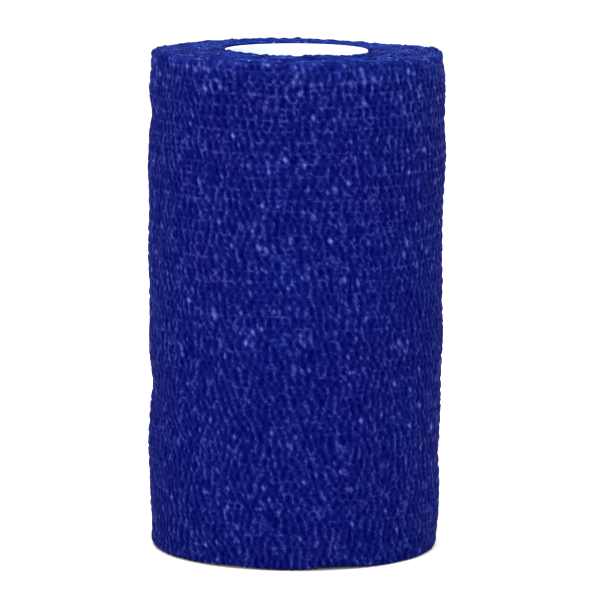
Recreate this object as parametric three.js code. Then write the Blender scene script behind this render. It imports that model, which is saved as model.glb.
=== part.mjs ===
// Cohesive bandage roll, standing on end: one long crinkled elastic strip wound on a short white tube.
// Millimetres, +Z up. The origin is on the roll's axis, on the surface that the roll stands on.
// Seen from above, +X is to the right of the side that is photographed and -Y is towards the viewer.
import * as THREE from 'three';

// Driving dimensions
const STRIP_WIDTH = 100; // the roll is as tall as the strip is wide
const ROLL_RADIUS = 29.4; // mean outer radius, over the crests of the crinkle
const TURN_PITCH = 0.71; // one relaxed turn lies this far outside the last
const TUBE_RADIUS = 14.4; // outside of the tube
const TUBE_WALL = 1.2;
const TUBE_LENGTH = 100.1;
const TUBE_EDGE = 0.2; // small chamfer on each rim of the tube
const TUBE_GAP = 0.3; // between the tube and the innermost turn

// How the winding is rounded at its ends
const SHOULDER_RADIUS = 1.3; // top edge
const HEEL_RADIUS = 1; // bottom edge, pressed squarer by the roll's standing on it
const LIP_RADIUS = 0.5; // inner edge, beside the tube
const CROWN = 0.4; // the top end rises this much from its shoulder to the tube

// The strip's outer end lies flat at the back, one thickness proud of the turn below it
const END_DIRECTION = 78; // degrees from +X towards +Y
const END_SLANT = 1.6; // degrees that the cut leans over the full height
const END_FALL = 1; // degrees over which the surface drops to the turn below

// Fineness
const SECTORS = 80;
const WALL_ROWS = 46;
const ARC_STEPS = 4;
const FACE_STEPS = 4;

// Soft swellings and hollows of the side, left by winding a springy strip by hand.
// direction: degrees from +X towards +Y. level: height. wide: degrees. tall and out: millimetres.
const SWELLINGS = [
  { direction: 358, level: 98.3, wide: 26, tall: 2, out: -0.42 },
  { direction: 358, level: 92, wide: 28, tall: 6, out: 0.3 },
  { direction: 358, level: 78.5, wide: 30, tall: 6.5, out: 0.6 },
  { direction: 358, level: 43, wide: 28, tall: 5.5, out: 0.3 },
  { direction: 358, level: 19, wide: 26, tall: 5, out: -0.35 },
  { direction: 358, level: 3, wide: 36, tall: 6, out: -0.35 },
  { direction: 356, level: 1.5, wide: 30, tall: 2.4, out: -0.38 },
  { direction: 182, level: 97.5, wide: 26, tall: 5, out: -0.3 },
  { direction: 182, level: 91, wide: 24, tall: 3, out: 0.2 },
  { direction: 182, level: 87.6, wide: 26, tall: 2.4, out: -0.55 },
  { direction: 182, level: 77, wide: 30, tall: 6, out: 0.35 },
  { direction: 182, level: 61.5, wide: 32, tall: 7, out: 0.35 },
  { direction: 182, level: 40, wide: 24, tall: 4, out: 0.15 },
  { direction: 182, level: 32.5, wide: 28, tall: 3.6, out: -0.65 },
  { direction: 182, level: 21, wide: 24, tall: 4.5, out: 0.3 },
  { direction: 182, level: 3, wide: 34, tall: 7, out: -0.45 },
  { direction: 246, level: 68, wide: 34, tall: 13, out: 0.22 },
  { direction: 302, level: 31, wide: 32, tall: 11, out: -0.22 },
  { direction: 276, level: 88, wide: 30, tall: 7, out: 0.18 },
  { direction: 268, level: 14, wide: 36, tall: 8, out: 0.2 },
  { direction: 128, level: 82, wide: 30, tall: 9, out: 0.25 },
  { direction: 40, level: 56, wide: 36, tall: 13, out: 0.3 },
  { direction: 118, level: 27, wide: 34, tall: 10, out: -0.3 },
];

// Slow waves of the top end around the axis, as the turns' edges don't quite line up.
// lobes: waves in one round. rise: millimetres. direction: degrees of a crest.
const END_WAVES = [
  { lobes: 1, rise: 0.24, direction: 180 },
  { lobes: 3, rise: 0.08, direction: 215 },
  { lobes: 4, rise: 0.1, direction: 102 },
  { lobes: 7, rise: 0.05, direction: 31 },
];

// Worked out from the sizes above
const WINDING_BORE = TUBE_RADIUS + TUBE_GAP;
const BORE_TOP = STRIP_WIDTH + CROWN;

const radians = (degrees) => (degrees * Math.PI) / 180;

// Shortest signed way from one direction to another, in degrees
function turnBetween(from, to) {
  return ((to - from + 540) % 360) - 180;
}

function swellingAt(direction, level) {
  let out = 0;
  for (const swelling of SWELLINGS) {
    const across = turnBetween(swelling.direction, direction) / swelling.wide;
    const along = (level - swelling.level) / swelling.tall;
    out += swelling.out * Math.exp(-across * across - along * along);
  }
  return out;
}

function endWaveAt(direction) {
  let rise = 0;
  for (const wave of END_WAVES) {
    rise += wave.rise * Math.cos(radians(wave.lobes * (direction - wave.direction)));
  }
  return rise;
}

// Points of a quarter-round edge, from one angle to the next, both in degrees in the section's plane
function arcPoints(centreRadius, centreLevel, radius, from, to) {
  const points = [];
  for (let step = 0; step <= ARC_STEPS; step += 1) {
    const angle = radians(from + ((to - from) * step) / ARC_STEPS);
    points.push(
      new THREE.Vector2(
        centreRadius + radius * Math.cos(angle),
        centreLevel + radius * Math.sin(angle),
      ),
    );
  }
  return points;
}

// Points between two ends, without the ends themselves
function pointsBetween(start, end, steps) {
  const points = [];
  for (let step = 1; step < steps; step += 1) {
    points.push(start.clone().lerp(end, step / steps));
  }
  return points;
}

// Section of the winding, once round: resting face, heel, side, shoulder, crowned top, lip, bore
function windingSection() {
  const heel = arcPoints(ROLL_RADIUS - HEEL_RADIUS, HEEL_RADIUS, HEEL_RADIUS, 270, 360);
  const shoulder = arcPoints(
    ROLL_RADIUS - SHOULDER_RADIUS,
    STRIP_WIDTH - SHOULDER_RADIUS,
    SHOULDER_RADIUS,
    0,
    90,
  );
  const topLip = arcPoints(WINDING_BORE + LIP_RADIUS, BORE_TOP - LIP_RADIUS, LIP_RADIUS, 90, 180);
  const bottomLip = arcPoints(WINDING_BORE + LIP_RADIUS, LIP_RADIUS, LIP_RADIUS, 180, 270);
  const section = [
    ...heel,
    ...pointsBetween(heel.at(-1), shoulder[0], WALL_ROWS),
    ...shoulder,
    ...pointsBetween(shoulder.at(-1), topLip[0], FACE_STEPS),
    ...topLip,
    ...bottomLip,
    ...pointsBetween(bottomLip.at(-1), heel[0], FACE_STEPS),
  ];
  section.push(section[0].clone());
  return section;
}

// The section is turned round the axis, then each column of points is moved to its own direction,
// out along the spiral, and in or out with the swellings. The bore stays round and the base flat.
function windingGeometry() {
  const section = windingSection();
  const geometry = new THREE.LatheGeometry(section, SECTORS);
  const position = geometry.getAttribute('position');
  for (let index = 0; index < position.count; index += 1) {
    const point = section[index % section.length];
    const column = Math.floor(index / section.length) % SECTORS;
    const wound = column / (SECTORS - 1);
    const share = (point.x - WINDING_BORE) / (ROLL_RADIUS - WINDING_BORE);
    const level = point.y / STRIP_WIDTH;
    const slant = END_SLANT * (level - 0.5) * share;
    const direction = END_DIRECTION + slant + wound * (360 - END_FALL);
    const spiral = TURN_PITCH * (wound - 0.5);
    const radius = point.x + share * (spiral + swellingAt(direction, point.y));
    const height = point.y + level ** 8 * endWaveAt(direction);
    const angle = radians(direction);
    position.setXYZ(index, radius * Math.cos(angle), radius * Math.sin(angle), height);
  }
  geometry.computeVertexNormals();
  return geometry;
}

// A plain tube with small chamfers on both rims
function tubeGeometry() {
  const bore = TUBE_RADIUS - TUBE_WALL;
  const section = [
    new THREE.Vector2(TUBE_RADIUS - TUBE_EDGE, 0),
    new THREE.Vector2(TUBE_RADIUS, TUBE_EDGE),
    new THREE.Vector2(TUBE_RADIUS, TUBE_LENGTH - TUBE_EDGE),
    new THREE.Vector2(TUBE_RADIUS - TUBE_EDGE, TUBE_LENGTH),
    new THREE.Vector2(bore + TUBE_EDGE, TUBE_LENGTH),
    new THREE.Vector2(bore, TUBE_LENGTH - TUBE_EDGE),
    new THREE.Vector2(bore, TUBE_EDGE),
    new THREE.Vector2(bore + TUBE_EDGE, 0),
  ];
  section.push(section[0].clone());
  const geometry = new THREE.LatheGeometry(section, SECTORS);
  geometry.rotateX(Math.PI / 2);
  return geometry;
}

// Materials
const cloth = new THREE.MeshStandardMaterial({ color: 0x15207a, roughness: 0.8, metalness: 0 });
const paperboard = new THREE.MeshStandardMaterial({ color: 0xf1f3f6, roughness: 0.7, metalness: 0 });

// The roll
const winding = new THREE.Mesh(windingGeometry(), cloth);
winding.name = 'wound_bandage';

const tube = new THREE.Mesh(tubeGeometry(), paperboard);
tube.name = 'core_tube';

const roll = new THREE.Group();
roll.name = 'bandage_roll';
roll.add(winding, tube);

export default roll;
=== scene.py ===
# Cohesive bandage roll, standing on its end: one crinkled elastic strip wound on a short white tube.
# Metres, +Z up, with the roll's axis at the origin and the photographed side towards -Y.
import math

import bmesh
import bpy
import numpy as np
from mathutils import Matrix, Vector


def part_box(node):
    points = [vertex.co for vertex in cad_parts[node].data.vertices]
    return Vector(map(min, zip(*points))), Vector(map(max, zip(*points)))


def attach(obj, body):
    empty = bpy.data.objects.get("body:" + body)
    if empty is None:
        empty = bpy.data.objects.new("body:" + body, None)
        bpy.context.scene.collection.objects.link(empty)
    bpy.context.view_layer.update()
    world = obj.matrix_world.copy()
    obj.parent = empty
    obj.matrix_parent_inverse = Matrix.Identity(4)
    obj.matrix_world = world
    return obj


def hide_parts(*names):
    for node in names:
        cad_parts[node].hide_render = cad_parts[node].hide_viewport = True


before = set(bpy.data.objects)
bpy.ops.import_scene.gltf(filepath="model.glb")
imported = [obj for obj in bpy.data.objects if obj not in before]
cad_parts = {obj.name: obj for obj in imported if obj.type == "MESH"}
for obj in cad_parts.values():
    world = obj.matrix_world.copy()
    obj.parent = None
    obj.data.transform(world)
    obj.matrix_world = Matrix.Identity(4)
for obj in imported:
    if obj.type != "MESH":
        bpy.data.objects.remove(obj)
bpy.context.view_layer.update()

mm = 0.001
tubeLow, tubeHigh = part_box("core_tube")

# The strip as it is wound. Its outer end is the cut end at the back, and turns are counted inwards from it.
strip = {
    "width": 100 * mm,
    "rollRadius": 29.4 * mm,       # mean outside of the outer turn, over the crests
    "turnPitch": 0.71 * mm,        # one turn lies this far outside the last
    "tubeGap": 0.3 * mm,
    "ridgesPerTurn": 115,          # upright crests of the crinkle, about 1.6 mm apart
    "strands": 44,                 # elastic threads across the width, about 2.3 mm apart
    "shoulderRadius": 1.3 * mm,    # top edge of the roll
    "heelRadius": 1.0 * mm,        # bottom edge
    "crown": 0.4 * mm,             # the end rises this much towards the tube
    "endDirection": 78.0,          # degrees from +X towards +Y, where the cut end lies
    "endSlant": 1.6,               # degrees that the cut leans over the full height
    "ridgeColumns": 4,             # mesh columns in one ridge and hollow
    "strandRows": 4,               # mesh rows from one elastic thread to the next
    "wavePower": 8,                # the top end's waves die out downwards with this power of the height
    "liftPower": 2,                # and its lifts inwards with this power of the share out from the tube
    "hollowLevels": 81,            # levels at which the deepest hollow is looked for
}
bore = tubeHigh.x + strip["tubeGap"]
girth = 2 * math.pi * strip["rollRadius"]

# Soft swellings and hollows of the side: direction and width in degrees, the rest in millimetres
swellings = [
    {"direction": 358, "level": 98.3, "wide": 26, "tall": 2, "out": -0.42},
    {"direction": 358, "level": 92, "wide": 28, "tall": 6, "out": 0.3},
    {"direction": 358, "level": 78.5, "wide": 30, "tall": 6.5, "out": 0.6},
    {"direction": 358, "level": 43, "wide": 28, "tall": 5.5, "out": 0.3},
    {"direction": 358, "level": 19, "wide": 26, "tall": 5, "out": -0.35},
    {"direction": 358, "level": 3, "wide": 36, "tall": 6, "out": -0.35},
    {"direction": 356, "level": 1.5, "wide": 30, "tall": 2.4, "out": -0.38},
    {"direction": 182, "level": 97.5, "wide": 26, "tall": 5, "out": -0.3},
    {"direction": 182, "level": 91, "wide": 24, "tall": 3, "out": 0.2},
    {"direction": 182, "level": 87.6, "wide": 26, "tall": 2.4, "out": -0.55},
    {"direction": 182, "level": 77, "wide": 30, "tall": 6, "out": 0.35},
    {"direction": 182, "level": 61.5, "wide": 32, "tall": 7, "out": 0.35},
    {"direction": 182, "level": 40, "wide": 24, "tall": 4, "out": 0.15},
    {"direction": 182, "level": 32.5, "wide": 28, "tall": 3.6, "out": -0.65},
    {"direction": 182, "level": 21, "wide": 24, "tall": 4.5, "out": 0.3},
    {"direction": 182, "level": 3, "wide": 34, "tall": 7, "out": -0.45},
    {"direction": 246, "level": 68, "wide": 34, "tall": 13, "out": 0.22},
    {"direction": 302, "level": 31, "wide": 32, "tall": 11, "out": -0.22},
    {"direction": 276, "level": 88, "wide": 30, "tall": 7, "out": 0.18},
    {"direction": 268, "level": 14, "wide": 36, "tall": 8, "out": 0.2},
    {"direction": 128, "level": 82, "wide": 30, "tall": 9, "out": 0.25},
    {"direction": 40, "level": 56, "wide": 36, "tall": 13, "out": 0.3},
    {"direction": 118, "level": 27, "wide": 34, "tall": 10, "out": -0.3},
]

# Slow waves of the top end round the axis: waves in one round, rise in millimetres, direction of a crest
endWaves = [
    {"lobes": 1, "rise": 0.24, "direction": 180},
    {"lobes": 3, "rise": 0.08, "direction": 215},
    {"lobes": 4, "rise": 0.1, "direction": 102},
    {"lobes": 7, "rise": 0.05, "direction": 31},
]

# Where the top end stands a little higher, at the right: direction and width in degrees, rise in millimetres
topLifts = [
    {"direction": 12, "wide": 13, "rise": 0.5},
]

# Where the outer turn's bottom edge stands a little off the floor, in the same units
footGaps = [
    {"direction": 286, "wide": 9, "rise": 0.65},
    {"direction": 246, "wide": 12, "rise": 0.4},
]


# The winding's form, shared by the inner turns and the outer one

def outerFace(turns):
    # radius of the strip's outer face, that many turns in from the cut end
    return strip["rollRadius"] + strip["turnPitch"] * (0.5 - turns)


def directionOf(turns, level):
    # degrees from +X towards +Y; the winding runs clockwise inwards, seen from above
    slant = strip["endSlant"] * (level / strip["width"] - 0.5)
    return strip["endDirection"] + 360 * (1 - turns) + slant


def turnBetween(start, direction):
    # the shortest signed way from one direction to another, in degrees
    return (direction - start + 180) % 360 - 180


def swellingAt(direction, level):
    out = np.zeros(np.broadcast(direction, level).shape)
    for bump in swellings:
        across = turnBetween(bump["direction"], direction) / bump["wide"]
        along = (level - bump["level"] * mm) / (bump["tall"] * mm)
        out += bump["out"] * mm * np.exp(-across ** 2 - along ** 2)
    return out


def lowestSwellingAt(direction):
    # the deepest hollow over the height, which every hidden face stays behind
    levels = np.linspace(0, strip["width"], strip["hollowLevels"])
    return swellingAt(np.asarray(direction)[..., None], levels).min(axis=-1)


def endWaveAt(direction):
    rise = np.zeros(np.shape(direction))
    for wave in endWaves:
        turned = np.radians(wave["lobes"] * (direction - wave["direction"]))
        rise += wave["rise"] * mm * np.cos(turned)
    return rise


def riseAt(direction, spots):
    # the rise that a list of spots, such as the foot gaps, gives in that direction
    rise = np.zeros(np.shape(direction))
    for spot in spots:
        across = turnBetween(spot["direction"], direction) / spot["wide"]
        rise += spot["rise"] * mm * np.exp(-across ** 2)
    return rise


def rollUp(radius, turns, level, hidden):
    # puts strip points round the axis, and returns an array of x, y, z; hidden marks rows inside the roll
    direction = directionOf(turns, level)
    swelling = swellingAt(direction, level)
    swelling[:, hidden] = np.minimum(swelling[:, hidden], lowestSwellingAt(direction[:, hidden]))
    # swellings and lifts fade from full at the outside to nothing at the tube
    share = np.maximum((radius - bore) / (strip["rollRadius"] - bore), 0)
    radius = radius + share * swelling
    upward = np.maximum(level / strip["width"], 0) ** strip["wavePower"]
    lift = share ** strip["liftPower"] * riseAt(direction, topLifts)
    height = level + upward * (endWaveAt(direction) + lift)
    angle = np.radians(direction)
    return np.stack([radius * np.cos(angle), radius * np.sin(angle), height], axis=-1)


# Cloth meshes are grids whose columns run along the strip and whose rows run once round its section

def gridOfCloth(name, columns, rows):
    bm = bmesh.new()
    bm.loops.layers.uv.new("strip")
    bmesh.ops.create_grid(bm, x_segments=columns, y_segments=rows, size=0.5, calc_uvs=True)
    mesh = bpy.data.meshes.new(name)
    bm.to_mesh(mesh)
    bm.free()
    spots = np.empty(len(mesh.vertices) * 3)
    mesh.vertices.foreach_get("co", spots)
    spots = spots.reshape(-1, 3)
    column = np.rint((spots[:, 0] + 0.5) * columns).astype(int)
    row = np.rint((spots[:, 1] + 0.5) * rows).astype(int)
    return mesh, column, row


def makeCloth(name, places, marks):
    # places and marks are tables by column and row; the grid's first and last rows meet in the section
    mesh, column, row = gridOfCloth(name, places.shape[0] - 1, places.shape[1] - 1)
    mesh.vertices.foreach_set("co", places[column, row].ravel())
    for mark, values in marks.items():
        layer = mesh.attributes.new(mark, "FLOAT", "POINT")
        layer.data.foreach_set("value", values[column, row].astype(np.float32))
    bm = bmesh.new()
    bm.from_mesh(mesh)
    bmesh.ops.remove_doubles(bm, verts=bm.verts, dist=1e-7)
    rims = [edge for edge in bm.edges if edge.is_boundary]
    bmesh.ops.holes_fill(bm, edges=rims, sides=0)
    caps = [face for face in bm.faces if len(face.verts) > 4]
    bmesh.ops.triangulate(bm, faces=caps, ngon_method="EAR_CLIP")
    bmesh.ops.recalc_face_normals(bm, faces=bm.faces)
    return finishPiece(bm, mesh)


def finishPiece(bm, mesh):
    for face in bm.faces:
        face.smooth = True
    bm.to_mesh(mesh)
    bm.free()
    piece = bpy.data.objects.new(mesh.name, mesh)
    bpy.context.scene.collection.objects.link(piece)
    return piece


def softNoise(random, shape, reach):
    # smooth noise of spread 1; reach is how many cells it runs over on each axis
    field = random.normal(size=shape)
    for axis, cells in enumerate(reach):
        count = field.shape[axis]
        # three running means, one after another, come close to a bell curve
        for _ in range(3 if cells else 0):
            before = field.take(range(cells), axis)
            after = field.take(range(-cells, 0), axis)
            total = np.cumsum(np.concatenate([before, field, after], axis), axis)
            field = total.take(range(2 * cells, 2 * cells + count), axis) - total.take(range(count), axis)
    return (field - field.mean()) / field.std()


def spread(field, axis, share):
    # each value also reaches its neighbours on that axis, by this share
    wide = np.concatenate([field.take([0], axis), field, field.take([-1], axis)], axis)
    cells = field.shape[axis]
    return field + share * (wide.take(range(0, cells), axis) + wide.take(range(2, cells + 2), axis))


# Crinkle of the outer turn: rows of pits between the strands, every one of them modelled

crinkleForm = {
    "seed": 41,
    "pitDepth": 0.40 * mm,
    "gapChances": {3: 0.20, 4: 0.52, 5: 0.23, 6: 0.05},    # columns from one pit to the next
    "slopes": {                      # how deep the columns between two pits lie
        3: (0.44, 0.08),
        4: (0.50, 0.0, 0.50),
        5: (0.60, 0.10, 0.02, 0.56),
        6: (0.72, 0.20, 0.0, 0.20, 0.72),
    },
    "firstPit": 0.8,                 # depth of a row's first pit, as a share of pitDepth
    "pitMean": 0.86,                 # and of those that follow it
    "pitSpread": 0.18,
    "pitRange": (0.3, 1.3),
    "faintChance": 0.05,             # so many pits are only faint
    "faintShare": 0.35,
    "goOn": 0.3,                     # how readily a pit goes on upwards, in the gap between two strands
    "stagger": -0.5,                 # and past a strand
    "strandBar": 0.42,               # a bar of cloth lifts the pits by this share at each strand
    "strandBarTop": 0.42,            # and by this much more towards the top
    "halfwayBar": 0.18,              # and less so halfway between two strands
    "halfwayBarTop": 0.05,
    "barSpread": 0.30,
    "topFrom": 0.4,                  # what grows towards the top does so from this share of the height
    "topFull": 0.9,                  # and is full at this one
    "puffs": (-0.13 * mm, 0.02 * mm, 0.07 * mm, 0.02 * mm),    # row by row, from one strand to the next
    "puffMean": 0.9,
    "puffSpread": 0.35,
    "puffRange": (0.1, 1.8),
    "lumps": 0.045 * mm,             # unevenness over a few puckers
    "lumpRange": (-0.28 * mm, 0.24 * mm),
    "crestSpread": 0.04 * mm,
    "crestRange": (-0.14 * mm, 0.07 * mm),
    "grain": 0.016 * mm,             # fine roughness from point to point
    "sideways": 0.11 * mm,           # how far puckers stray from upright lines
    "sidewaysFine": 0.45,            # share of the smaller strays in it
    "sidewaysBroad": 0.8,            # and of the very broad ones
    "sidewaysMost": 1.0 * mm,
    "upward": 0.32 * mm,             # how far strands stray from level lines
    "upwardFine": 0.4,
    "upwardMost": 0.8 * mm,
    "straighterTop": 0.5,            # strands run this much straighter towards the top
    "shadeSoft": 0.3,                # the shade's weights of soft and of point-to-point noise
    "shadeFine": 0.9,
    "paintedGlintShare": 0.08,              # share of the raised points that get a painted glint, a light spot painted into the colour
    "paintedGlintMean": 0.145,
    "paintedGlintBelow": 0.45,              # a point is raised where its pit is less deep than this
    "rimRows": 14,                   # rows by the top edge, which have more painted glints
    "rimPaintedGlints": 1.5,
    "paintedGlintReach": 0.24,              # share of a painted glint that each neighbour takes
}


def towardsTop(rows):
    # nothing low on the roll, and 1 near its top
    low, full = crinkleForm["topFrom"], crinkleForm["topFull"]
    return np.clip((np.arange(rows) / rows - low) / (full - low), 0, 1)


def puckerRows(random, columns):
    # how deep each column lies in each row of puckers: 1 in the middle of a pit and 0 on a crest
    rows = strip["strands"] * 2
    slopes, chances = crinkleForm["slopes"], crinkleForm["gapChances"]
    spare = 2 * max(chances)
    hollow = np.zeros((columns + 1, rows))
    taken = np.zeros(columns + spare)
    for row in range(rows):
        mine = np.zeros(columns + spare)
        pit = int(random.integers(0, strip["ridgeColumns"]))
        depth = crinkleForm["firstPit"]
        pull = crinkleForm["goOn"] if row % 2 else crinkleForm["stagger"]
        while pit <= columns:
            mine[pit] = 1
            hollow[pit, row] = depth
            weights = np.array([chances[gap] * (1 + pull * taken[pit + gap]) for gap in chances])
            gap = int(random.choice(list(chances), p=weights / weights.sum()))
            following = random.normal(crinkleForm["pitMean"], crinkleForm["pitSpread"])
            following = float(np.clip(following, *crinkleForm["pitRange"]))
            if random.random() < crinkleForm["faintChance"]:
                following *= crinkleForm["faintShare"]
            slope = slopes[gap] if random.random() < 0.5 else slopes[gap][::-1]
            for step, share in enumerate(slope):
                if pit + 1 + step <= columns:
                    nearer = depth if step < len(slope) / 2 else following
                    hollow[pit + 1 + step, row] = share * nearer
            pit += gap
            depth = following
        taken = mine
    return hollow


def strandBars(random, depth):
    # depth of every mesh row: the rows of pits, with a bar of cloth between each two of them
    below = np.concatenate([depth[:, :1], depth], axis=1)
    above = np.concatenate([depth, depth[:, -1:]], axis=1)
    count = below.shape[1]
    upper = towardsTop(count)
    bar = np.where(
        np.arange(count) % 2,
        crinkleForm["halfwayBar"] + crinkleForm["halfwayBarTop"] * upper,
        crinkleForm["strandBar"] + crinkleForm["strandBarTop"] * upper)
    bar = np.clip(bar + crinkleForm["barSpread"] * softNoise(random, below.shape, (1, 0)), 0, 1)
    hollow = np.zeros((depth.shape[0], count * 2 - 1))
    hollow[:, 0::2] = 0.5 * (below + above) * (1 - bar)
    hollow[:, 1::2] = depth
    return hollow


def crinkle(random, columns):
    # tables of the outside by column and row: relief, lumps, shifts, shade and painted glint
    form = crinkleForm
    hollow = strandBars(random, puckerRows(random, columns))
    rows = hollow.shape[1]

    def noise(*reach):
        return softNoise(random, hollow.shape, reach)

    # the cloth puffs out between the strands and is drawn in along them
    puff = np.array(form["puffs"])[np.arange(rows) % strip["strandRows"]]
    puff = puff * np.clip(form["puffMean"] + form["puffSpread"] * noise(6, 3), *form["puffRange"])
    lumps = np.clip(form["lumps"] * noise(4, 3), *form["lumpRange"]) + puff
    crest = np.clip(form["crestSpread"] * noise(1, 1), *form["crestRange"])
    relief = crest - form["pitDepth"] * hollow
    relief += form["grain"] * random.normal(size=relief.shape)

    broad = noise(28, 12)
    sideways = noise(5, 4) + form["sidewaysFine"] * noise(2, 2) + form["sidewaysBroad"] * broad
    sideways = np.clip(form["sideways"] * sideways, -form["sidewaysMost"], form["sidewaysMost"])
    upward = form["upward"] * (noise(13, 5) + form["upwardFine"] * noise(3, 2))
    upward *= 1 - form["straighterTop"] * towardsTop(rows)
    upward = np.clip(upward, -form["upwardMost"], form["upwardMost"])
    shade = form["shadeSoft"] * noise(1, 1) + form["shadeFine"] * random.normal(size=hollow.shape)

    # painted glints, light spots in the colour: most are faint, and each one reaches the points beside it
    paintedLightRim = np.arange(rows) > rows - form["rimRows"]
    high = (hollow < form["paintedGlintBelow"]) * (1 + form["rimPaintedGlints"] * paintedLightRim)
    paintedGlintSpots = random.random(hollow.shape) < form["paintedGlintShare"] * high
    paintedGlint = np.where(paintedGlintSpots, random.exponential(form["paintedGlintMean"], hollow.shape), 0)
    paintedGlint = np.clip(spread(spread(paintedGlint, 0, form["paintedGlintReach"]), 1, form["paintedGlintReach"]), 0, 1)
    return {
        "relief": relief, "lumps": lumps, "sideways": sideways,
        "upward": upward, "shade": shade, "paintedGlint": paintedGlint,
    }


# Outer turn: the crinkled cloth, curled over both edges of the roll

outerTurn = {
    "turns": 1.032,              # a little more than once round, so that its start lies under the cut end
    "thickness": 0.6 * mm,
    "leastCloth": 0.05 * mm,     # the pits leave at least this much
    "shoulderCurl": 80.0,        # degrees that the top edge curls inwards
    "heelCurl": 74.0,
    "edgeBulge": 0.16 * mm,      # how far the strip's two edges bulge
    "bulgeSpread": 0.03 * mm,
    "topCrumple": 0.03 * mm,
    "footCrumple": 0.06 * mm,
    "footHeight": 4 * mm,        # the bottom edge's unevenness dies out over this height
    "footPress": 0.75,           # the crinkle is pressed this much flatter at the very bottom
    "hiddenFrom": 6 * mm,        # its lining stays behind the roll's hollows this far from either edge
    "liningSteps": (1, 0.66, 0.33, 0),     # rows of the lining round a curl, as shares of it
    "underFrom": 0.985,          # turns from the cut end, where the strip goes in under it
    "underOver": 0.015,
    "underFlat": 0.92,           # and curls this much less, so that the turn above covers it
    "smoothFrom": 0.99,          # from here on no lump stands out
    "endFade": 0.8 * mm,         # the cut end thins out over this length
    "endThin": 0.10 * mm,
    "endDip": 0.22 * mm,
    "endRagged": 0.22 * mm,
    "paintedTopLightReach": 6 * mm,         # painted light: the cloth is paler towards the roll's top edge, as where more light falls from above
    "paintedTopLightShare": 0.50,            # and has this share of the cut edges' colour there
    "paintedTopLightPower": 1.5,
    "shadeWeight": 0.10,
    "raisedRange": (-0.1, 1.4),
    "liningRaised": 0.3,
    "liningEdge": 0.5,
}
heelAngle = math.radians(outerTurn["heelCurl"])
shoulderAngle = math.radians(outerTurn["shoulderCurl"])

# Lengths along the outer turn's section: round the heel, up the wall and round the shoulder,
# and from its bottom edge to the top of the wall and to its top edge
heelLength = strip["heelRadius"] * heelAngle
shoulderLength = strip["shoulderRadius"] * shoulderAngle
wallLength = strip["width"] - strip["heelRadius"] - strip["shoulderRadius"]
topLength = heelLength + wallLength
wholeLength = topLength + shoulderLength


def curlOver(lengths, depth, curl):
    # how far inside the outer face, and how high, points lie at these lengths and that deep in the cloth
    heel = -heelAngle * curl * np.clip(1 - lengths / heelLength, 0, 1)
    shoulder = shoulderAngle * curl * np.clip((lengths - topLength) / shoulderLength, 0, 1)
    lean = heel + shoulder
    lower = lengths < heelLength + 0.5 * wallLength
    corner = np.where(lower, strip["heelRadius"], strip["shoulderRadius"])
    level = strip["heelRadius"] + np.clip(lengths - heelLength, 0, wallLength)
    inward = corner * (1 - np.cos(lean)) + depth * np.cos(lean)
    return inward, level + (corner - depth) * np.sin(lean)


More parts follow.
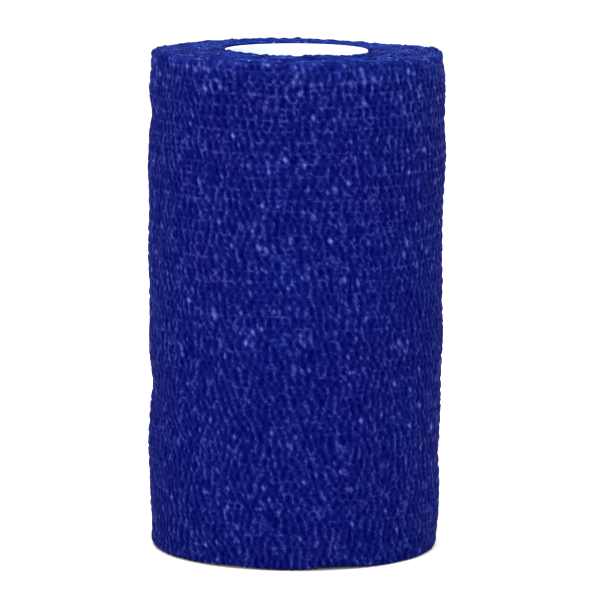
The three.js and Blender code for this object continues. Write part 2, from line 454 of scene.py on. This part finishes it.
def makeOuterTurn():
    perTurn = strip["ridgesPerTurn"] * strip["ridgeColumns"]
    columns = round(outerTurn["turns"] * perTurn)
    random = np.random.default_rng(crinkleForm["seed"])
    cloth = crinkle(random, columns)
    relief = cloth["relief"]

    turns = (np.arange(columns + 1) / perTurn)[:, None]
    under = np.clip((turns - outerTurn["underFrom"]) / outerTurn["underOver"], 0, 1)
    curl = 1 - outerTurn["underFlat"] * under
    fade = np.clip(1 - turns * girth / outerTurn["endFade"], 0, 1)

    # outside, from the bottom edge up
    outside = np.linspace(0, wholeLength, strip["strands"] * strip["strandRows"] + 1)
    ragged = outerTurn["endRagged"] * random.normal(size=relief.shape) * fade
    skinLengths = np.clip(outside[None, :] + cloth["upward"], 0, wholeLength)
    skinLengths[:, 0] = 0
    skinLengths[:, -1] = wholeLength
    crumple = np.zeros_like(relief)
    crumple[:, -1] = outerTurn["topCrumple"] * random.normal(size=columns + 1)
    crumple[:, 0] = outerTurn["footCrumple"] * random.normal(size=columns + 1)
    lumps = np.where(turns > outerTurn["smoothFrom"], np.minimum(cloth["lumps"], 0), cloth["lumps"])
    pressed = 1 - outerTurn["footPress"] * np.clip(1 - outside / outerTurn["footHeight"], 0, 1) ** 2
    liningDepth = outerTurn["thickness"] - outerTurn["endThin"] * fade
    skinDepth = outerTurn["endDip"] * fade - (relief + lumps) * pressed + crumple
    skinDepth = np.minimum(skinDepth, liningDepth - outerTurn["leastCloth"])
    outInward, outLevel = curlOver(skinLengths, skinDepth, curl)
    outTurns = turns + (cloth["sideways"] + ragged) / girth

    # lining, back down the inside, and the middle of the strip's two edges
    steps = outerTurn["liningSteps"]
    shoulderRows = [topLength + shoulderLength * step for step in steps]
    heelRows = [heelLength * step for step in steps]
    hiddenRows = [topLength - outerTurn["hiddenFrom"], heelLength + outerTurn["hiddenFrom"]]
    inside = np.array(shoulderRows + hiddenRows + heelRows)
    inInward, inLevel = curlOver(np.broadcast_to(inside, (columns + 1, len(inside))), liningDepth, curl)
    topInward, topLevel = curlOver(np.full((columns + 1, 1), wholeLength), liningDepth * 0.5, curl)
    footInward, footLevel = curlOver(np.zeros((columns + 1, 1)), liningDepth * 0.5, curl)
    bulge = outerTurn["edgeBulge"] + outerTurn["bulgeSpread"] * softNoise(random, (columns + 1, 1), (1, 0))
    topInward = topInward + bulge * np.sin(shoulderAngle * curl)
    topLevel = topLevel + bulge * np.cos(shoulderAngle * curl)
    footInward = footInward + bulge * np.sin(heelAngle * curl)
    footLevel = footLevel - bulge * np.cos(heelAngle * curl)

    inward = np.concatenate([outInward, topInward, inInward, footInward, outInward[:, :1]], axis=1)
    level = np.concatenate([outLevel, topLevel, inLevel, footLevel, outLevel[:, :1]], axis=1)
    plain = np.broadcast_to(turns, (columns + 1, len(inside) + 2))
    along = np.concatenate([outTurns, plain, outTurns[:, :1]], axis=1)
    hidden = np.zeros(level.shape[1], dtype=bool)
    firstHidden = len(outside) + 1 + len(shoulderRows)
    hidden[firstHidden:firstHidden + len(hiddenRows)] = True
    places = rollUp(outerFace(along) - inward, along, level, hidden)
    foot = np.clip(1 - level / outerTurn["footHeight"], 0, 1) ** 2
    places[..., 2] += foot * riseAt(directionOf(along, level), footGaps)
    places[..., 2] = np.maximum(places[..., 2], 0)

    def wholeRound(skin, lining):
        # a mark's values on the skin, one value on the rest, and the first row again, where they meet
        return np.concatenate([skin, np.full(plain.shape, lining), skin[:, :1]], axis=1)

    # the raised mark, the crinkle's height, paints shade into the pits and a highlight on the crests in the
    # cloth's colour ramp
    raised = 1 + relief / crinkleForm["pitDepth"] + outerTurn["shadeWeight"] * cloth["shade"]
    # painted light: towards the top edge the outside takes on the cut edges' paler colour, as where more
    # light falls from above
    paintedLightRim = np.clip(1 - (wholeLength - skinLengths) / outerTurn["paintedTopLightReach"], 0, 1)
    return makeCloth("outer_turn", places, {
        "raised": wholeRound(np.clip(raised, *outerTurn["raisedRange"]), outerTurn["liningRaised"]),
        "edge": wholeRound(outerTurn["paintedTopLightShare"] * paintedLightRim ** outerTurn["paintedTopLightPower"], outerTurn["liningEdge"]),
        "paintedGlint": wholeRound(cloth["paintedGlint"], 0.0),
    })


# Inner turns: one ribbon from the tube out to the outer turn, whose edges show at both ends of the roll

innerTurns = {
    "seed": 7,
    "startGap": 0.002,           # turns between the outer turn's inner end and the ribbon's start
    "web": 0.66 * mm,            # thickness of the puckered cloth
    "webSpread": 0.12,
    "webRange": (0.7, 1.0),
    "wave": 0.021 * mm,          # how far it waves in and out at its edges
    "waveSteps": (1.0, 0.1, -1.0, -0.1),     # columns of one ridge and hollow
    "waveMean": 0.75,
    "waveSpread": 0.25,
    "waveMost": 1.05,
    "drift": 0.2,                # slower straying, over a few columns
    "driftMost": 1.15,
    "scallop": 0.08 * mm,        # how far its edges rise and fall with the puckers
    "stray": 0.10 * mm,          # how far a turn stands above or below the next
    "strayColumns": 90,
    "belowTop": 0.12 * mm,       # its edges lie this far inside the roll's ends
    "aboveFoot": 0.09 * mm,
    "footScallop": 0.5,          # shares of the scallop and of the stray at the bottom
    "footStray": 0.3,
    "hiddenTop": 1.1 * mm,       # the turn by the outer one ends this far below, under that one's curl
    "hiddenFoot": 1.1 * mm,
    "secondFoot": 0.75 * mm,     # and the next one in ends this far above the floor
    "raisedMean": 0.9,
    "raisedSpread": 0.16,
    "hiddenBeyond": 1,           # rows of the section further inward than this are hidden
    "edgeFrom": 0.5,             # rows raised this much or more are cut edge
    "paintedGlintFrom": 0.6,            # and those raised more than this can have a painted glint
    "paintedGlintShare": 0.06,
    "paintedGlintMean": 0.3,
}

# Section of the ribbon, once round: across in half thicknesses, inward from an end in millimetres; raised is
# lower down between the turns and higher at the edge tips, which paints shade into the gaps and light on the
# tips
ribbonSection = [
    {"end": "bottom", "inward": 0.18, "across": 1.0, "raised": 0.4},
    {"end": "bottom", "inward": 7.0, "across": 1.0, "raised": 0.3},
    {"end": "top", "inward": 7.0, "across": 1.0, "raised": 0.3},
    {"end": "top", "inward": 0.15, "across": 1.0, "raised": 0.62},
    {"end": "top", "inward": 0.04, "across": 0.80, "raised": 0.8},
    {"end": "top", "inward": 0.0, "across": 0.0, "raised": 0.95},
    {"end": "top", "inward": 0.04, "across": -0.80, "raised": 0.8},
    {"end": "top", "inward": 0.15, "across": -1.0, "raised": 0.62},
    {"end": "top", "inward": 7.0, "across": -1.0, "raised": 0.3},
    {"end": "bottom", "inward": 7.0, "across": -1.0, "raised": 0.3},
    {"end": "bottom", "inward": 0.18, "across": -1.0, "raised": 0.4},
    {"end": "bottom", "inward": 0.04, "across": -0.66, "raised": 0.7},
    {"end": "bottom", "inward": 0.0, "across": 0.0, "raised": 0.8},
    {"end": "bottom", "inward": 0.04, "across": 0.66, "raised": 0.7},
    {"end": "bottom", "inward": 0.18, "across": 1.0, "raised": 0.4},
]


def windRibbon():
    # columns are evenly spaced along the cloth, so the turns are worked out from the length wound
    pitch = strip["turnPitch"]
    ridge = girth / strip["ridgesPerTurn"]
    start = outerTurn["turns"] + innerTurns["startGap"]
    end = (strip["rollRadius"] - pitch * 0.5 - bore) / pitch
    startRadius, endRadius = outerFace(start), outerFace(end)
    length = math.pi * (startRadius ** 2 - endRadius ** 2) / pitch
    columns = int(length / ridge) * strip["ridgeColumns"]
    wound = np.linspace(0, length, columns + 1)
    radius = np.sqrt(startRadius ** 2 - wound * pitch / math.pi)
    turns = start + (startRadius - radius) / pitch
    return turns[:, None], length


def makeInnerTurns():
    form = innerTurns
    random = np.random.default_rng(form["seed"])
    turns, length = windRibbon()
    count = len(turns)

    def noise(reach):
        return softNoise(random, turns.shape, (reach, 0))

    steps = np.array(form["waveSteps"])[np.arange(count) % len(form["waveSteps"])]
    swing = steps * (form["waveMean"] + form["waveSpread"] * random.normal(size=count))
    swing = np.clip(swing, -form["waveMost"], form["waveMost"])[:, None]
    swing = np.clip(swing + form["drift"] * noise(3), -form["driftMost"], form["driftMost"])
    scallop = form["scallop"] * noise(1)
    stray = form["stray"] * noise(form["strayColumns"])

    # where the ribbon's two edges lie, in height
    nextToOuter = np.floor(turns) <= 1
    oneFurtherIn = np.floor(turns) == 2
    centre = outerFace(turns) - strip["turnPitch"] * 0.5
    outwards = (centre - bore) / (strip["rollRadius"] - strip["shoulderRadius"] - bore)
    crown = strip["crown"] * np.clip(1 - outwards, 0, 1)
    top = strip["width"] + crown - form["belowTop"] + scallop + stray - form["hiddenTop"] * nextToOuter
    bottom = form["aboveFoot"] + form["footScallop"] * np.abs(scallop) + form["footStray"] * np.abs(stray)
    bottom = bottom + form["hiddenFoot"] * nextToOuter + form["secondFoot"] * oneFurtherIn

    half = form["web"] * 0.5 * np.clip(1 + form["webSpread"] * noise(1), *form["webRange"])
    across = np.array([row["across"] for row in ribbonSection])
    hidden = np.array([row["inward"] > form["hiddenBeyond"] for row in ribbonSection])
    level = np.concatenate([
        top - row["inward"] * mm if row["end"] == "top" else bottom + row["inward"] * mm
        for row in ribbonSection], axis=1)
    radius = centre + swing * form["wave"] + across * half
    places = rollUp(radius, np.broadcast_to(turns, radius.shape), level, hidden)

    # the section's raised values paint shade into the gaps between turns and light on the edge tips
    edge = np.array([row["raised"] for row in ribbonSection])
    raised = edge * (form["raisedMean"] + form["raisedSpread"] * noise(1))
    # painted glints, light spots in the colour, on the ribbon's edge tips
    paintedGlintSpots = random.random(count) < form["paintedGlintShare"]
    paintedSparkle = np.where(paintedGlintSpots, random.exponential(form["paintedGlintMean"], count), 0)
    ribbon = makeCloth("inner_turns", places, {
        "raised": raised,
        "edge": np.broadcast_to(edge >= form["edgeFrom"], raised.shape),
        "paintedGlint": np.clip(paintedSparkle, 0, 1)[:, None] * (edge > form["paintedGlintFrom"]),
    })
    return ribbon, length


# Tube: smooth white paperboard, spirally wound, with softly rounded rims

tube = {
    "wall": 1.2 * mm,
    "sides": 160,
    "levels": 40,                # faces up the wall
    "seamPitch": 42 * mm,        # the paper strip it is wound from advances this much in a turn
    "seamDepth": 0.05 * mm,
    "seamWidth": 0.5 * mm,
    "seamReach": 0.1 * mm,       # points this near the bore are pressed
    "rimRounding": 0.25 * mm,
    "rimSegments": 3,
}


def pressSeam(bm, inner):
    # the faint groove of the spiral seam, in the inner wall
    for vert in bm.verts:
        radius = math.hypot(vert.co.x, vert.co.y)
        if radius < inner + tube["seamReach"]:
            angle = math.atan2(vert.co.y, vert.co.x)
            away = (vert.co.z / tube["seamPitch"] - angle / (2 * math.pi) + 0.5) % 1 - 0.5
            away *= tube["seamPitch"] / tube["seamWidth"]
            radius += tube["seamDepth"] * math.exp(-away ** 2)
            vert.co.x = radius * math.cos(angle)
            vert.co.y = radius * math.sin(angle)


def makeTube():
    bm = bmesh.new()
    outer, inner = tubeHigh.x, tubeHigh.x - tube["wall"]
    low, high = tubeLow.z, tubeHigh.z
    section = ((inner, low), (outer, low), (outer, high), (inner, high))
    corners = [bm.verts.new((x, 0, z)) for x, z in section]
    for i in range(4):
        bm.edges.new((corners[i], corners[(i + 1) % 4]))
    bmesh.ops.bevel(
        bm, geom=corners, offset=tube["rimRounding"], affect="VERTICES",
        segments=tube["rimSegments"], profile=0.5, material=-1)
    # the two long edges, up the wall
    upright = [edge for edge in bm.edges if edge.calc_length() > 0.5 * (high - low)]
    bmesh.ops.subdivide_edges(bm, edges=upright, cuts=tube["levels"] - 1)
    bmesh.ops.spin(
        bm, geom=bm.verts[:] + bm.edges[:], cent=(0, 0, 0), axis=(0, 0, 1),
        angle=2 * math.pi, steps=tube["sides"], use_merge=True, use_duplicate=False)
    bmesh.ops.remove_doubles(bm, verts=bm.verts, dist=1e-6)
    bmesh.ops.recalc_face_normals(bm, faces=bm.faces)
    pressSeam(bm, inner)
    return finishPiece(bm, bpy.data.meshes.new("tube_wall"))


# Materials

clothFinish = {
    # colours from the bottom of a pit to the tip of a crest, each at its place in the ramp: darker in the
    # pits as painted shade, paler and whiter at the crest tips as painted highlight
    "relief": [
        (0.08, (0.00005, 0.0004, 0.050)),
        (0.20, (0.0002, 0.0013, 0.070)),
        (0.40, (0.0011, 0.0028, 0.080)),
        (0.67, (0.0040, 0.0067, 0.106)),
        (0.95, (0.028, 0.037, 0.210)),
    ],
    "reliefGain": 0.65,              # brings the marked height into the ramp
    "reliefStart": 0.10,
    "tufts": {"Scale": 1700.0, "Detail": 2.0, "Roughness": 0.6},      # tufts of fibre
    "tuftGain": 1.3,
    "tuftStart": -0.65,
    "tuftBump": {"Strength": 0.5, "Distance": 0.08 * mm},
    # the strip's cut edges, at both ends of the roll: partly their own colour and partly painted light,
    # paler than the side as if lit more from above; darker low down between the turns as painted shade,
    # paler at the tips as painted light, and in streaks along the turns
    "edge": (0.0052, 0.0148, 0.152),
    "edgePaintedShadeAndLight": [(0.3, (0.5, 0.5, 0.62)), (1.0, (1.3, 1.3, 1.2))],
    "streak": {"Scale": 210.0, "Detail": 2.0, "Roughness": 0.5},
    "edgeStreak": [(0.38, (0.45, 0.52, 0.72)), (0.64, (2.2, 2.0, 1.45))],
    # slow blotches multiply the colour, and others lean it to royal blue or to violet
    "blotch": {"Scale": 75.0, "Detail": 3.0, "Roughness": 0.55},
    "tone": [(0.34, (0.95, 0.97, 0.99)), (0.66, (1.03, 1.03, 1.02))],
    "lean": {"Scale": 48.0, "Detail": 2.0, "Roughness": 0.5},
    "leanShift": (0.4, 0.1, 0.3),    # so that the two kinds of blotch don't fall together
    "hue": [(0.36, (0.86, 1.08, 1.03)), (0.62, (1.07, 0.95, 0.99))],
    # painted glints: light spots mixed into the colour
    "paintedGlint": (0.13, 0.16, 0.62),
    "paintedGlintFrom": 0.06,               # fainter painted glints don't show
    "roughness": 0.62,
    "specular": 0.01,
}

tubeFinish = {
    "grain": {"Scale": 900.0, "Detail": 4.0, "Roughness": 0.6},
    "colours": [(0.3, (0.75, 0.80, 0.84)), (0.7, (0.80, 0.85, 0.89))],
    "bump": {"Strength": 0.25, "Distance": 0.05 * mm},
    "roughness": 0.6,
}

floorFinish = {
    "colour": (0.95, 0.95, 0.95),
    "roughness": 0.9,
    "specular": 0.0,
}


def newMaterial(name):
    material = bpy.data.materials.new(name)
    material.use_nodes = True
    return material, material.node_tree.nodes["Principled BSDF"]


def node(tree, kind, **values):
    made = tree.nodes.new(kind)
    for name, value in values.items():
        if name in made.inputs:
            made.inputs[name].default_value = value
        else:
            setattr(made, name, value)
    return made


def noiseOf(tree, place, look):
    made = node(tree, "ShaderNodeTexNoise", **look)
    tree.links.new(place, made.inputs["Vector"])
    return made.outputs["Fac"]


def markOf(tree, name):
    return node(tree, "ShaderNodeAttribute", attribute_name=name).outputs["Fac"]


def scaled(tree, value, gain, start):
    made = node(tree, "ShaderNodeMath", operation="MULTIPLY_ADD")
    tree.links.new(value, made.inputs[0])
    made.inputs[1].default_value = gain
    made.inputs[2].default_value = start
    return made.outputs[0]


def added(tree, first, second):
    made = node(tree, "ShaderNodeMath", operation="ADD")
    tree.links.new(first, made.inputs[0])
    tree.links.new(second, made.inputs[1])
    return made.outputs[0]


def ramp(tree, factor, stops):
    made = tree.nodes.new("ShaderNodeValToRGB")
    bar = made.color_ramp
    while len(bar.elements) < len(stops):
        bar.elements.new(0.5)
    for element, (place, colour) in zip(bar.elements, stops):
        element.position = place
        element.color = (*colour, 1)
    tree.links.new(factor, made.inputs["Fac"])
    return made.outputs["Color"]


def mixColour(tree, blend, factor, first, second):
    made = tree.nodes.new("ShaderNodeMix")
    made.data_type = "RGBA"
    made.blend_type = blend
    for socket, value in ((made.inputs[0], factor), (made.inputs[6], first), (made.inputs[7], second)):
        if isinstance(value, bpy.types.NodeSocket):
            tree.links.new(value, socket)
        else:
            socket.default_value = value
    return made.outputs[2]


def roughen(tree, shader, height, look):
    bump = node(tree, "ShaderNodeBump", **look)
    tree.links.new(height, bump.inputs["Height"])
    tree.links.new(bump.outputs["Normal"], shader.inputs["Normal"])


def clothMaterial():
    material, shader = newMaterial("crinkled_cloth")
    tree = material.node_tree
    look = clothFinish
    place = tree.nodes.new("ShaderNodeTexCoord").outputs["Object"]

    # the crinkle's own height, broken up by tufts of fibre, picks between pit, body and crest, so the colour
    # carries painted shade in the pits and a painted highlight on the crests
    tufts = noiseOf(tree, place, look["tufts"])
    uneven = scaled(tree, tufts, look["tuftGain"], look["tuftStart"])
    lifted = added(tree, markOf(tree, "raised"), uneven)
    height = scaled(tree, lifted, look["reliefGain"], look["reliefStart"])
    colour = ramp(tree, height, look["relief"])

    # cut edges are paler: partly their own colour, partly painted light from above, with painted shade low
    # down between the turns
    streak = ramp(tree, noiseOf(tree, place, look["streak"]), look["edgeStreak"])
    cut = mixColour(tree, "MULTIPLY", 1.0, (*look["edge"], 1), ramp(tree, lifted, look["edgePaintedShadeAndLight"]))
    cut = mixColour(tree, "MULTIPLY", 1.0, cut, streak)
    colour = mixColour(tree, "MIX", markOf(tree, "edge"), colour, cut)

    tone = ramp(tree, noiseOf(tree, place, look["blotch"]), look["tone"])
    colour = mixColour(tree, "MULTIPLY", 1.0, colour, tone)
    aside = node(tree, "ShaderNodeMapping", Location=look["leanShift"])
    tree.links.new(place, aside.inputs["Vector"])
    hue = ramp(tree, noiseOf(tree, aside.outputs["Vector"], look["lean"]), look["hue"])
    colour = mixColour(tree, "MULTIPLY", 1.0, colour, hue)

    # painted glints, mixed over the colour
    paintedGlint = node(tree, "ShaderNodeMapRange")
    paintedGlint.inputs["From Min"].default_value = look["paintedGlintFrom"]
    tree.links.new(markOf(tree, "paintedGlint"), paintedGlint.inputs["Value"])
    colour = mixColour(tree, "MIX", paintedGlint.outputs[0], colour, (*look["paintedGlint"], 1))
    tree.links.new(colour, shader.inputs["Base Color"])

    roughen(tree, shader, tufts, look["tuftBump"])
    shader.inputs["Roughness"].default_value = look["roughness"]
    shader.inputs["Specular IOR Level"].default_value = look["specular"]
    return material


def tubeMaterial():
    material, shader = newMaterial("white_paperboard")
    tree = material.node_tree
    place = tree.nodes.new("ShaderNodeTexCoord").outputs["Object"]
    grain = noiseOf(tree, place, tubeFinish["grain"])
    tree.links.new(ramp(tree, grain, tubeFinish["colours"]), shader.inputs["Base Color"])
    roughen(tree, shader, grain, tubeFinish["bump"])
    shader.inputs["Roughness"].default_value = tubeFinish["roughness"]
    return material


def floorMaterial():
    material, shader = newMaterial("pale_floor")
    shader.inputs["Base Color"].default_value = (*floorFinish["colour"], 1)
    shader.inputs["Roughness"].default_value = floorFinish["roughness"]
    shader.inputs["Specular IOR Level"].default_value = floorFinish["specular"]
    return material


# Camera, floor and light

cameraView = {
    "away": 0.8545,              # from the roll's axis
    "eyeHeight": 0.173,
    "aim": (0.00104, 0.0, 0.04956),
    "lens": 257.2,
    "sensor": 36,
    "nearest": 0.01,
    "farthest": 20,
    "roll": 0.30,                # degrees
}

studio = {
    "floorHalf": 3.0,
    "floorDrop": 0.05 * mm,      # the floor lies this far below the roll's foot
    "sky": (1, 1, 1),            # even light from all round
    "skyStrength": 1.0,
    "lights": [
        {"name": "above", "at": (0.0, -0.1, 1.1), "size": 1.0, "power": 14.0},
        {"name": "front left", "at": (-0.45, -1.1, 0.40), "size": 0.5, "power": 5.0},
    ],
}


def lookFrom(eye, aim):
    return (aim - eye).to_track_quat("-Z", "Y").to_matrix().to_4x4()


def makeCamera():
    camera = bpy.data.objects.new("camera", bpy.data.cameras.new("camera"))
    bpy.context.scene.collection.objects.link(camera)
    camera.data.lens = cameraView["lens"]
    camera.data.sensor_width = cameraView["sensor"]
    camera.data.clip_start = cameraView["nearest"]
    camera.data.clip_end = cameraView["farthest"]
    eye = Vector((0, -cameraView["away"], cameraView["eyeHeight"]))
    turn = Matrix.Rotation(math.radians(cameraView["roll"]), 4, "Z")
    camera.matrix_world = Matrix.Translation(eye) @ lookFrom(eye, Vector(cameraView["aim"])) @ turn
    bpy.context.scene.camera = camera


def makeFloor():
    bm = bmesh.new()
    bmesh.ops.create_grid(bm, x_segments=1, y_segments=1, size=studio["floorHalf"])
    mesh = bpy.data.meshes.new("floor")
    bm.to_mesh(mesh)
    bm.free()
    mesh.materials.append(floorMaterial())
    floor = bpy.data.objects.new("floor", mesh)
    floor.location.z = -studio["floorDrop"]
    bpy.context.scene.collection.objects.link(floor)


def makeLights():
    aim = Vector((0, 0, strip["width"] * 0.5))
    for light in studio["lights"]:
        data = bpy.data.lights.new(light["name"], "AREA")
        data.size = light["size"]
        data.energy = light["power"]
        lamp = bpy.data.objects.new(light["name"], data)
        at = Vector(light["at"])
        lamp.matrix_world = Matrix.Translation(at) @ lookFrom(at, aim)
        bpy.context.scene.collection.objects.link(lamp)
    world = bpy.data.worlds.new("studio")
    world.use_nodes = True
    back = world.node_tree.nodes["Background"]
    back.inputs["Color"].default_value = (*studio["sky"], 1)
    back.inputs["Strength"].default_value = studio["skyStrength"]
    bpy.context.scene.world = world
    bpy.context.scene.view_settings.view_transform = "Standard"


makeCamera()
print("camera placed")

outer = makeOuterTurn()
print("outer turn crinkled:", len(outer.data.polygons), "faces")

inner, innerLength = makeInnerTurns()
print("inner turns wound:", len(inner.data.polygons), "faces,", round(innerLength, 3), "m of strip")

wall = makeTube()
print("tube made")

cloth = clothMaterial()
for piece in (outer, inner):
    piece.data.materials.append(cloth)
    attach(piece, "root")
    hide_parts("wound_bandage")
wall.data.materials.append(tubeMaterial())
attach(wall, "root")
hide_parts("core_tube")
print("materials set")

makeFloor()
makeLights()
print("floor and lights set")
